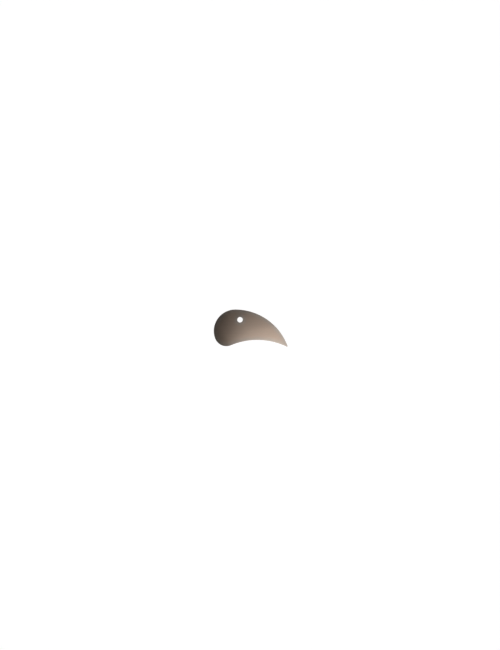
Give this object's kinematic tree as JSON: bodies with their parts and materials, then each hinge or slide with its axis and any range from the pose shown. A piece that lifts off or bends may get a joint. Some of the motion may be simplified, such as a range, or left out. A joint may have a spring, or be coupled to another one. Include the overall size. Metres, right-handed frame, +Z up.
{
  "type": "pottery rib",
  "caption": "Flat comma-shaped steel hand rib for clay, with a long convex back, a round head, a hollow edge, a fine tip and a hanging hole.",
  "frame": {"origin": "middle of the outline's box, on the underside of the sheet", "axes": "+X from the round head to the tip, +Y from the hollow edge to the convex back, +Z up through the sheet"},
  "size_m": [0.11, 0.0556, 0.0006],
  "materials": {
    "steel": "satin, brushed along its length, warm grey-brown, worn to a plainer grey along the edges, with fine scratches"
  },
  "bodies": {
    "root": {"rib_blade": "steel"}
  },
  "joints": []
}
